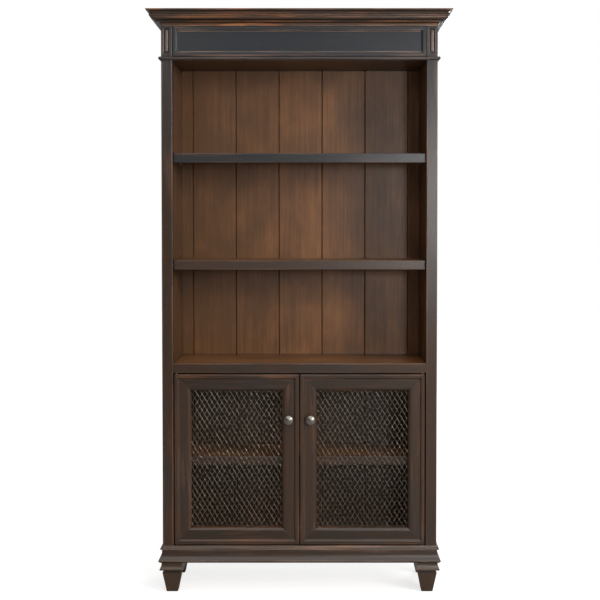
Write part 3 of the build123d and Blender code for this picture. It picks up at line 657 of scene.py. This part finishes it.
@dataclass(frozen=True)
class AgedMetal:
    """Metal with a patina: bright where it is handled, dull and darker elsewhere."""

    name: str
    bright: str
    dull: str
    roughness: float
    mottle_mm: float = 4.0
    fine_mm: float = 0.35
    fine_deep_mm: float = 0.08
    edge_mm: float = 0.7
    edge_shine: float = 0.5

    def build(self) -> bpy.types.Material:
        """Builds the material."""
        material, tree = new_material(self.name)
        coords = add_node(tree, "TexCoord").outputs["Object"]
        mottle = grain_noise(tree, coords, Grain.UPRIGHT, self.mottle_mm, 1.0, 4.0, 0.5)
        fine = grain_noise(tree, coords, Grain.UPRIGHT, self.fine_mm, 1.0, 2.0)
        bright, dull = hex_to_linear(self.bright), hex_to_linear(self.dull)
        body = blend(tree, ramp_between(tree, mottle, (0.40, 0.64)), bright, dull)
        shine = edge_mask(tree, self.edge_mm, (0.01, 0.12))
        shine = calculate(tree, "MULTIPLY", shine, self.edge_shine)
        body = blend(tree, shine, body, bright)
        patina = (self.roughness - 0.06, self.roughness + 0.1)
        rough = ramp_between(tree, mottle, PORE_SPAN, patina)
        pitted = {"Strength": 0.2, "Distance": self.fine_deep_mm * MM}
        bump = add_node(tree, "Bump", pitted, {"Height": fine})
        links = {"Base Color": body, "Roughness": rough, "Normal": bump.outputs["Normal"]}
        surface(tree, {"Metallic": 1.0}, links)
        return material


@dataclass(frozen=True)
class MouldedPlastic:
    """Injection-moulded plastic with the faint orange peel of its tool."""

    name: str
    colour: str
    roughness: float = 0.5
    peel_mm: float = 0.9
    peel_deep_mm: float = 0.05
    cloud_mm: float = 12.0
    paler: float = 1.35

    def build(self) -> bpy.types.Material:
        """Builds the material."""
        material, tree = new_material(self.name)
        coords = add_node(tree, "TexCoord").outputs["Object"]
        peel = grain_noise(tree, coords, Grain.UPRIGHT, self.peel_mm, 1.0)
        cloud = grain_noise(tree, coords, Grain.UPRIGHT, self.cloud_mm, 1.0)
        dark = hex_to_linear(self.colour)
        pale = (dark[0] * self.paler, dark[1] * self.paler, dark[2] * self.paler, 1.0)
        body = blend(tree, ramp_between(tree, cloud, PORE_SPAN), dark, pale)
        skin = {"Strength": 0.15, "Distance": self.peel_deep_mm * MM}
        bump = add_node(tree, "Bump", skin, {"Height": peel})
        links = {"Base Color": body, "Normal": bump.outputs["Normal"]}
        surface(tree, {"Roughness": self.roughness}, links)
        return material


Finish = DistressedLacquer | StainedVeneer | SawnTimber | AgedMetal | MouldedPlastic


class Workshop:
    """Holds the loaded frame and dresses its boards."""

    def __init__(self, frame: dict) -> None:
        """Keeps the frame's nodes.
        """
        self.nodes = frame["nodes"]
        self.made: dict[Finish, bpy.types.Material] = {}

    def finish(self, finish: Finish) -> bpy.types.Material:
        """The material of a finish, built once."""
        if finish not in self.made:
            self.made[finish] = finish.build()
        return self.made[finish]

    def dress(self, finish: Finish, *names: str) -> None:
        """Gives carried-over parts a finish.

        Args:
            finish: one of the finish dataclasses.
            *names: node names.
        """
        material = self.finish(finish)
        for name in names:
            part = self.nodes[name]
            part.data.materials.clear()
            part.data.materials.append(material)
            LOG.info("dressed %s in %s", name, material.name)


# The lacquer of most of the outside, laid along each board's own grain: near-black brown.
LACQUER_ACROSS = DistressedLacquer(grain=Grain.ACROSS)
LACQUER_UPRIGHT = DistressedLacquer(grain=Grain.UPRIGHT)
LACQUER_DEEP = DistressedLacquer(grain=Grain.DEEP)
# The crown was rubbed hardest, so orange-brown wood shows along its members.
LACQUER_CROWN = DistressedLacquer(
    name="crown_espresso_lacquer",
    film="#261b12",
    rub="#94592f",
    wear=1.3,
    patch_mm=18.0,
    reflection_from=1.9,
)
# The raised bars are given a pale dusty-brown film, a painted highlight on their rounded faces.
LACQUER_BAR = DistressedLacquer(
    name="highlit_bar_lacquer",
    film="#54463f",
    film_cool="#594a44",
    rub_cool="#7d675c",
    wear=0.6,
    grain=Grain.UPRIGHT,
)
# The door rails are given a darker film than the stiles.
LACQUER_RAIL = DistressedLacquer(name="door_rail_espresso_lacquer", film="#22160b")
# The frieze is the coolest, a slate black whose blue cast is a painted cool reflection, with
# pinkish wear on its moulding only.
LACQUER_FRIEZE = DistressedLacquer(
    name="cool_espresso_lacquer",
    film="#232223",
    film_cool="#1f2226",
    rub_cool="#8c6c5c",
    patches=0.3,
    wear=1.2,
    ior=1.42,
)
# The frieze panel's blue-grey film is a painted cool reflection as well.
LACQUER_PANEL = DistressedLacquer(
    name="frieze_panel_lacquer",
    film="#242324",
    film_cool="#202327",
    patches=0.12,
    wear=0.5,
    ior=1.42,
)
# Shelf edges: black on the top shelf, browner on the ones below.
LACQUER_SHELF = DistressedLacquer(
    name="black_shelf_edge_lacquer", film="#1d1c1c", film_cool="#1c1d1f", patches=0.4, wear=0.6
)
LACQUER_BROWN_SHELF = DistressedLacquer(
    name="brown_shelf_edge_lacquer", film="#33241b", film_cool="#2c211b", patches=0.6, wear=0.7
)
# The base has paler arrises, part wear from feet and brooms, part painted highlight.
LACQUER_BASE = DistressedLacquer(
    name="base_espresso_lacquer", rub="#684831", bare_wood_and_highlight="#bcae9f", wear=1.15
)
LACQUER_FOOT = DistressedLacquer(
    name="foot_espresso_lacquer", film="#352416", film_cool="#2f2014", grain=Grain.UPRIGHT
)
# Where the wall side of the back panels starts, in metres behind the middle of the piece.
WALL_SIDE = 0.1755
# Stained veneer inside, darker on the side linings; darker in the cupboard and under the crown, a
# painted shade.
STAIN_BACK = StainedVeneer(
    name="planked_back_stain", plank_mm=156.0, left_shade=0.35, bare_from=WALL_SIDE
)
# The cupboard behind the mesh is stained darker: a painted shade.
STAIN_CUPBOARD_SHADE = StainedVeneer(
    name="cupboard_painted_shade_stain",
    deep="#21140a",
    middle="#2b1a0d",
    light="#362112",
    plank_mm=156.0,
    bare_from=WALL_SIDE,
)
STAIN_UPRIGHT = StainedVeneer(deep="#40280f", middle="#52341a", light="#643f21")
STAIN_ACROSS = StainedVeneer(
    deep="#573a1d", middle="#6b4628", light="#815732", grain=Grain.ACROSS, roughness=0.34
)
# The top panel is seen from below; its darker stain is a painted shade under the top.
STAIN_TOP_SHADE = StainedVeneer(
    name="top_painted_shade_stain", deep="#33200c", middle="#412812", light="#4f331a", grain=Grain.ACROSS
)
TIMBER = SawnTimber()
# Metals and plastics of the hardware, from a grey dusty pewter to bright zinc plate.
PEWTER = AgedMetal("antique_pewter", "#89847e", "#635d57", 0.28, mottle_mm=1.6)
BRONZE_WIRE = AgedMetal("aged_bronze_wire", "#7d7366", "#393128", 0.36, mottle_mm=9.0)
HINGE_BRONZE = AgedMetal("antique_bronze_plate", "#8a6f4a", "#4a3a26", 0.38)
ZINC = AgedMetal("zinc_plated_steel", "#c4c4be", "#8b8b86", 0.32)
CATCH_BROWN = MouldedPlastic("brown_moulded_plastic", "#2c1d14")
GLIDE_BLACK = MouldedPlastic("black_glide_nylon", "#191817", 0.6)


@dataclass
class Header:
    """Crown, frieze and the bead below it."""

    shop: Workshop

    def dress(self) -> None:
        """Finishes every part of the header."""
        self.shop.dress(LACQUER_CROWN, "crown_front")
        self.shop.dress(LACQUER_ACROSS, "astragal_front", "top_board")
        self.shop.dress(LACQUER_DEEP, "crown_returns", "astragal_returns")
        self.shop.dress(LACQUER_FRIEZE, "frieze_moulding")
        self.shop.dress(LACQUER_PANEL, "frieze_board")
        self.shop.dress(LACQUER_BAR, "pilaster_bars")


@dataclass
class Carcass:
    """Sides, posts, levels and back."""

    shop: Workshop
    sides: tuple[str, ...] = ("left", "right")

    def dress(self) -> None:
        """Finishes the carcass inside and out."""
        for side in self.sides:
            self.shop.dress(LACQUER_UPRIGHT, f"{side}_outer_side", f"{side}_stile")
            self.shop.dress(STAIN_UPRIGHT, f"{side}_inner_side")
        self.shop.dress(LACQUER_ACROSS, "middle_rail")
        self.shop.dress(STAIN_ACROSS, "fixed_shelf", "bottom_panel")
        self.shop.dress(STAIN_TOP_SHADE, "top_panel")
        self.shop.dress(STAIN_BACK, "upper_back_panel")
        self.shop.dress(STAIN_CUPBOARD_SHADE, "lower_back_panel")
        self.shop.dress(TIMBER, "side_battens", "base_frame")
        self.shop.dress(ZINC, "back_panel_screws", "foot_bolts", "shelf_pins")
        self.shop.dress(HINGE_BRONZE, "hinge_brackets")
        self.shop.dress(CATCH_BROWN, "magnetic_catches")


@dataclass
class Base:
    """Base moulding and feet."""

    shop: Workshop

    def dress(self) -> None:
        """Finishes the base."""
        self.shop.dress(LACQUER_BASE, "base_moulding_front")
        self.shop.dress(LACQUER_DEEP, "base_moulding_returns")
        self.shop.dress(LACQUER_FOOT, "front_feet", "rear_feet")
        self.shop.dress(GLIDE_BLACK, "floor_glides")


@dataclass
class AdjustableShelves:
    """The shelves that lift off their pins, each with a thick front edge."""

    shop: Workshop
    edges: tuple[tuple[str, DistressedLacquer], ...] = (
        ("upper_shelf", LACQUER_SHELF),
        ("centre_shelf", LACQUER_BROWN_SHELF),
        ("lower_shelf", LACQUER_BROWN_SHELF),
    )

    def dress(self) -> None:
        """Finishes boards and nosings."""
        for name, edge in self.edges:
            self.shop.dress(STAIN_ACROSS, name)
            self.shop.dress(edge, f"{name}_nosing")


@dataclass
class Door:
    """One framed door with its wire mesh, knob and hinge leaves."""

    shop: Workshop
    side: str

    def dress(self) -> None:
        """Finishes the frame and the metalwork."""
        prefix = f"{self.side}_door"
        self.shop.dress(LACQUER_RAIL, f"{prefix}_top_rail", f"{prefix}_bottom_rail")
        self.shop.dress(LACQUER_UPRIGHT, f"{prefix}_hinge_stile", f"{prefix}_meeting_stile")
        self.shop.dress(STAIN_UPRIGHT, f"{prefix}_mesh_stops")
        self.shop.dress(PEWTER, f"{prefix}_knob")
        self.shop.dress(ZINC, f"{prefix}_knob_screw", f"{prefix}_strike_plate")
        self.shop.dress(HINGE_BRONZE, f"{prefix}_hinge_leaves")
        self.shop.dress(BRONZE_WIRE, f"{prefix}_mesh")


@dataclass(frozen=True)
class Lamp:
    """One soft square lamp: where it hangs, what it faces, its side and its power."""

    name: str
    place: Point
    aim: Point
    side_m: float
    watts: float

    def hang(self) -> None:
        """Puts the lamp in the scene."""
        data = bpy.data.lights.new(self.name, "AREA")
        data.size = self.side_m
        data.energy = self.watts
        lamp = bpy.data.objects.new(self.name, data)
        lamp.location = self.place
        lamp.visible_camera = False
        way = Vector(self.aim) - Vector(self.place)
        lamp.rotation_euler = way.to_track_quat("-Z", "Y").to_euler()
        bpy.context.scene.collection.objects.link(lamp)


@dataclass
class Studio:
    """Pale floor, soft lights and the camera."""

    eye: Point = (0.053, -4.4315, 1.254)
    lens_mm: float = 75.82
    sensor_mm: float = 36.0
    pitch_degrees: float = 1.8
    shift: Span = (-0.0251, -0.0551)
    floor_half: float = 14.0
    floor_colour: str = "#a9a8a6"
    floor_roughness: float = 0.8
    floor_glow: float = 0.72
    sky_strength: float = 0.18
    white: Colour = (1.0, 1.0, 1.0, 1.0)
    far_m: float = 100.0
    bank_strength: float = 2.1
    bank_spread_degrees: float = 70.0
    bank_tilt_degrees: Point = (28.0, 10.0, 0.0)
    lamps: tuple[Lamp, ...] = (
        Lamp("key", (3.3, -3.4, 2.3), (-0.1, 0.0, 0.9), 1.3, 175.0),
        Lamp("rim", (1.15, -4.35, 1.5), (0.45, 0.0, 1.35), 0.5, 42.0),
        Lamp("fill", (-1.5, -4.3, 2.7), (-0.2, 0.0, 1.6), 1.2, 11.0),
        Lamp("rear", (1.6, 4.6, 2.6), (0.0, 0.0, 1.0), 1.6, 110.0),
    )

    def camera(self) -> None:
        """Stands the camera in front, a little above the middle shelf, tipped slightly down."""
        data = bpy.data.cameras.new("camera")
        data.lens = self.lens_mm
        data.sensor_width = self.sensor_mm
        data.shift_x, data.shift_y = self.shift
        data.clip_end = self.far_m
        camera = bpy.data.objects.new("camera", data)
        camera.location = self.eye
        camera.rotation_euler = (math.radians(90 - self.pitch_degrees), 0, 0)
        bpy.context.scene.collection.objects.link(camera)
        bpy.context.scene.camera = camera

    def floor(self) -> None:
        """Lays the pale floor."""
        half = self.floor_half
        mesh = bpy.data.meshes.new("floor")
        corners = [(-half, -half, 0), (half, -half, 0), (half, half, 0), (-half, half, 0)]
        mesh.from_pydata(corners, [], [(0, 1, 2, 3)])
        floor = bpy.data.objects.new("floor", mesh)
        bpy.context.scene.collection.objects.link(floor)
        material, tree = new_material("pale_floor")
        seen = add_node(tree, "LightPath").outputs["Is Camera Ray"]
        glow = calculate(tree, "MULTIPLY", seen, self.floor_glow)
        values = {
            "Base Color": hex_to_linear(self.floor_colour),
            "Roughness": self.floor_roughness,
            "Emission Color": self.white,
        }
        surface(tree, values, {"Emission Strength": glow})
        mesh.materials.append(material)

    def light(self) -> None:
        """Key, rim and fill in front, a rear lamp, an overhead bank and a white sweep."""
        for lamp in self.lamps:
            lamp.hang()
        bank = bpy.data.lights.new("overhead_bank", "SUN")
        bank.energy = self.bank_strength
        bank.angle = math.radians(self.bank_spread_degrees)
        holder = bpy.data.objects.new("overhead_bank", bank)
        holder.rotation_euler = [math.radians(angle) for angle in self.bank_tilt_degrees]
        bpy.context.scene.collection.objects.link(holder)
        self.sky()
        bpy.context.scene.view_settings.view_transform = "Standard"

    def sky(self) -> None:
        """A white sweep behind, whose light on the object is turned well down."""
        world = bpy.data.worlds.new("studio")
        world.use_nodes = True
        tree = world.node_tree
        tree.nodes.clear()
        seen = add_node(tree, "LightPath").outputs["Is Camera Ray"]
        strength = ramp_between(tree, seen, (0.0, 1.0), (self.sky_strength, 1.0))
        shader = add_node(tree, "Background", {"Color": self.white}, {"Strength": strength})
        add_node(tree, "OutputWorld", {}, {"Surface": shader.outputs[0]})
        bpy.context.scene.world = world

    def build(self) -> None:
        """Sets the whole studio up."""
        self.camera()
        self.floor()
        self.light()


def main() -> None:
    """Loads the frame and builds each sub-assembly's looks in order."""
    logging.basicConfig(level=logging.INFO, format="%(message)s")
    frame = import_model()
    Studio().build()
    shop = Workshop(frame)
    for assembly in (Header(shop), Carcass(shop), Base(shop), AdjustableShelves(shop)):
        assembly.dress()
        LOG.info("finished %s", type(assembly).__name__)
    for side in ("left", "right"):
        Door(shop, side).dress()
        LOG.info("finished %s door", side)


if __name__ == "__main__":
    main()
